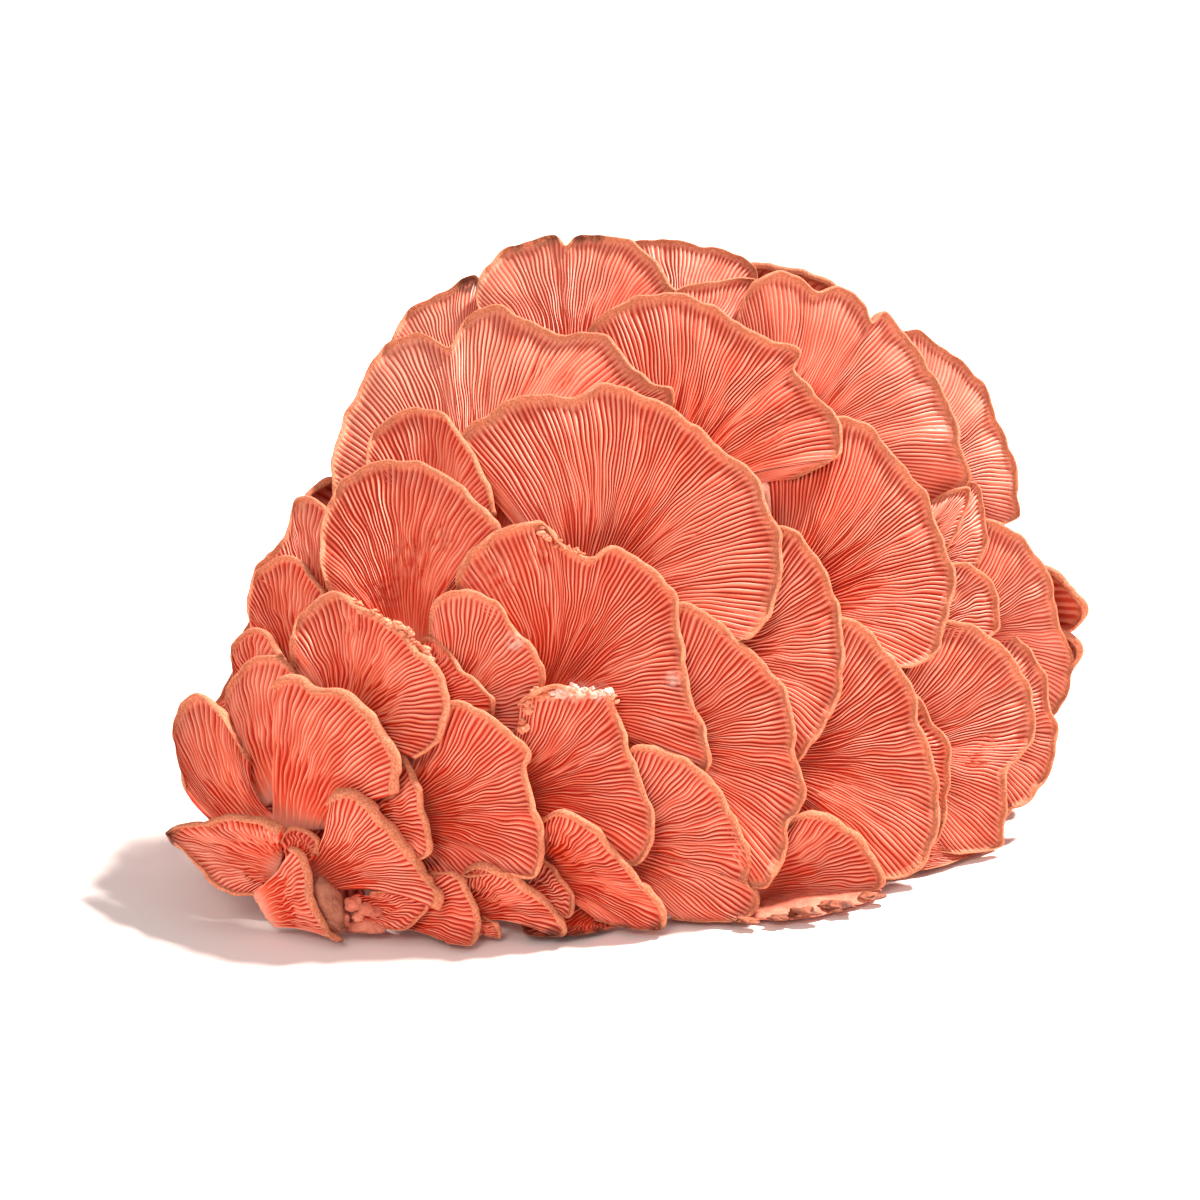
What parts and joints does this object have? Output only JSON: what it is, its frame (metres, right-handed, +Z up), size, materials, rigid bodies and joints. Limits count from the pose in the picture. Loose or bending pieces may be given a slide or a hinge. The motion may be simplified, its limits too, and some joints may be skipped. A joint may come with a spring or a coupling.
{
  "type": "oyster mushroom cluster",
  "caption": "Cluster of fan-shaped mushrooms lapped like shingles, gills to the front and waved rims, grown from one trimmed foot it lies on.",
  "frame": {"origin": "middle of the cluster's bounding box, on the plane of the flat cut that it lies on", "axes": "+Z up from the resting surface, +X along the cluster's greatest width, gills facing -Y and up"},
  "size_m": [0.2505, 0.1637, 0.1586],
  "materials": {
    "cap_gills": "matt, slightly moist coral gills with a tan rim",
    "cap_velvet": "matt, velvety salmon upper side with a tan rim",
    "foot_flesh": "matt, fibrous pale pink flesh, tan where it was cut"
  },
  "bodies": {
    "root": {"foot_of_fused_stalks": "foot_flesh", "cap_front_diagonal": "cap_gills", "cap_left_low_point": "cap_gills", "cap_left_point": "cap_gills", "curl_rosette": "cap_gills", "cap_rosette_large": "cap_gills", "cap_left_outer": "cap_gills", "cap_left_inner": "cap_gills", "cap_low_first": "cap_gills", "cap_low_second": "cap_gills", "bud_low_right": "cap_gills", "cap_middle_left": "cap_gills", "cap_narrow_left": "cap_gills", "cap_low_third": "cap_gills", "cap_torn": "cap_gills", "cap_crumbled": "cap_gills", "cap_split_small": "cap_gills", "cap_bruised": "cap_gills", "cap_low_fourth": "cap_gills", "cap_centre": "cap_gills", "cap_low_last": "cap_gills", "cap_middle_right": "cap_gills", "cap_left_back_low": "cap_gills", "cap_left_back_mid": "cap_gills", "cap_upper_left": "cap_gills", "cap_left_back_high": "cap_gills", "cap_half_hidden": "cap_gills", "cap_great": "cap_gills", "cap_right_crescent": "cap_gills", "cap_right_low": "cap_gills", "cap_right_sliver": "cap_gills", "cap_top_left_great": "cap_gills", "cap_top_middle": "cap_gills", "cap_right_great": "cap_gills", "ribbons_right": "cap_gills", "bud_right_mid": "cap_gills", "cap_right_outer": "cap_gills", "cap_top": "cap_gills", "cap_top_right": "cap_gills", "cap_right_far": "cap_gills", "cap_right_rear": "cap_gills", "cap_top_behind": "cap_gills", "cap_top_left_behind": "cap_gills", "cap_far_right_top": "cap_gills", "cap_side_left_low": "cap_gills", "cap_side_left_high": "cap_gills", "cap_side_left_floor": "cap_gills", "cap_side_right_low": "cap_gills", "cap_side_right_high": "cap_gills", "cap_side_right_floor": "cap_gills", "cap_rear_top": "cap_velvet", "cap_rear_top_left": "cap_velvet", "cap_rear_left": "cap_velvet", "cap_rear_right_top": "cap_velvet", "cap_rear_right": "cap_velvet", "cap_rear_right_low": "cap_velvet", "cap_rear_low": "cap_velvet", "cap_rear_low_left": "cap_velvet", "cap_rear_heart_high": "cap_velvet", "cap_rear_heart_low": "cap_velvet"}
  },
  "joints": []
}
